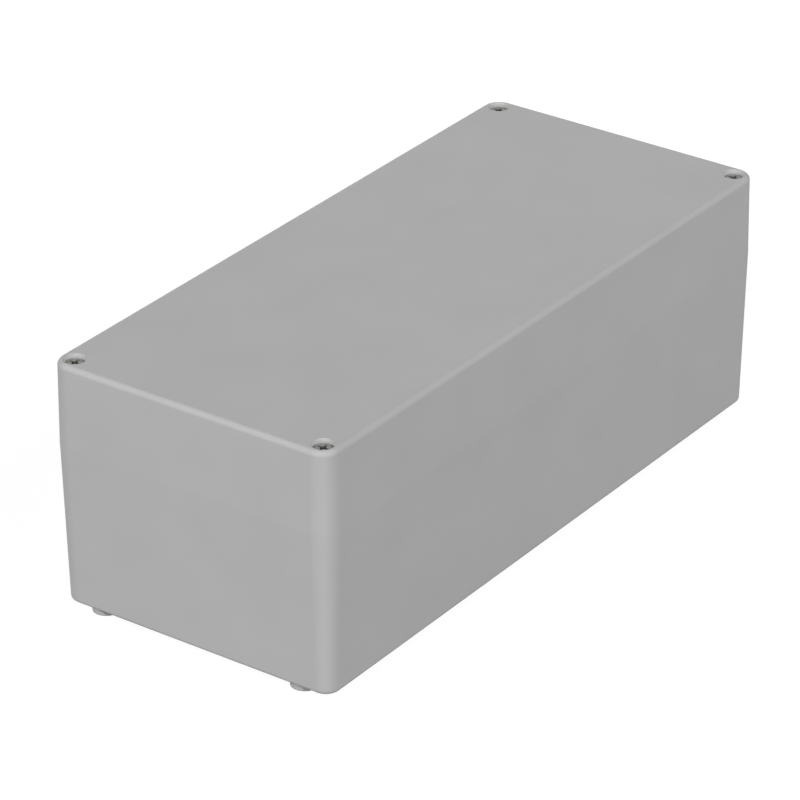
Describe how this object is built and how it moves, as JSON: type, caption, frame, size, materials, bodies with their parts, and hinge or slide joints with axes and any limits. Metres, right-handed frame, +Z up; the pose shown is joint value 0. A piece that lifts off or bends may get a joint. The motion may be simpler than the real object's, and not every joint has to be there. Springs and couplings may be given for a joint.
{
  "type": "plastic enclosure",
  "caption": "Long grey moulded enclosure with a deep lift-off lid, sealed tongue-and-groove joint, recessed captive lid screws and fixing holes through round feet.",
  "frame": {"origin": "on the surface that it stands on, under the middle of the four feet", "axes": "+X along the length, +Y across the width, +Z up through the lid"},
  "size_m": [0.2714, 0.12, 0.097],
  "materials": {
    "case_plastic": "matte",
    "gasket_rubber": "matte",
    "screw_steel": "satin",
    "retainer_nylon": "satin",
    "insert_brass": "satin"
  },
  "bodies": {
    "base": {"enclosure_base": "case_plastic", "threaded_insert_1": "insert_brass", "threaded_insert_2": "insert_brass", "threaded_insert_3": "insert_brass", "threaded_insert_4": "insert_brass"},
    "lid": {"enclosure_lid": "case_plastic", "lid_gasket": "gasket_rubber"},
    "retainer_1": {"screw_retainer_1": "retainer_nylon"},
    "screw_1": {"lid_screw_1": "screw_steel"},
    "retainer_2": {"screw_retainer_2": "retainer_nylon"},
    "screw_2": {"lid_screw_2": "screw_steel"},
    "retainer_3": {"screw_retainer_3": "retainer_nylon"},
    "screw_3": {"lid_screw_3": "screw_steel"},
    "retainer_4": {"screw_retainer_4": "retainer_nylon"},
    "screw_4": {"lid_screw_4": "screw_steel"}
  },
  "joints": [
    {"name": "lid_lift", "type": "slide", "parent": "base", "child": "lid", "axis": [0, 0, 1], "range_m": [0, 0.1]},
    {"name": "screw_1_rise", "type": "slide", "parent": "lid", "child": "retainer_1", "axis": [0, 0, 1], "range_m": [0, 0.0126]},
    {"name": "screw_1_turn", "type": "hinge", "parent": "retainer_1", "child": "screw_1", "pos_m": [0.12905, 0.0533, 0.065], "axis": [0, 0, 1], "range_deg": [0, 6480]},
    {"name": "screw_2_rise", "type": "slide", "parent": "lid", "child": "retainer_2", "axis": [0, 0, 1], "range_m": [0, 0.0126]},
    {"name": "screw_2_turn", "type": "hinge", "parent": "retainer_2", "child": "screw_2", "pos_m": [-0.12905, 0.0533, 0.065], "axis": [0, 0, 1], "range_deg": [0, 6480]},
    {"name": "screw_3_rise", "type": "slide", "parent": "lid", "child": "retainer_3", "axis": [0, 0, 1], "range_m": [0, 0.0126]},
    {"name": "screw_3_turn", "type": "hinge", "parent": "retainer_3", "child": "screw_3", "pos_m": [-0.12905, -0.0533, 0.065], "axis": [0, 0, 1], "range_deg": [0, 6480]},
    {"name": "screw_4_rise", "type": "slide", "parent": "lid", "child": "retainer_4", "axis": [0, 0, 1], "range_m": [0, 0.0126]},
    {"name": "screw_4_turn", "type": "hinge", "parent": "retainer_4", "child": "screw_4", "pos_m": [0.12905, -0.0533, 0.065], "axis": [0, 0, 1], "range_deg": [0, 6480]}
  ],
  "couplings": [
    {"joint": "screw_1_turn", "follows": "screw_1_rise", "rad_per_m": 8976},
    {"joint": "screw_2_turn", "follows": "screw_2_rise", "rad_per_m": 8976},
    {"joint": "screw_3_turn", "follows": "screw_3_rise", "rad_per_m": 8976},
    {"joint": "screw_4_turn", "follows": "screw_4_rise", "rad_per_m": 8976}
  ]
}
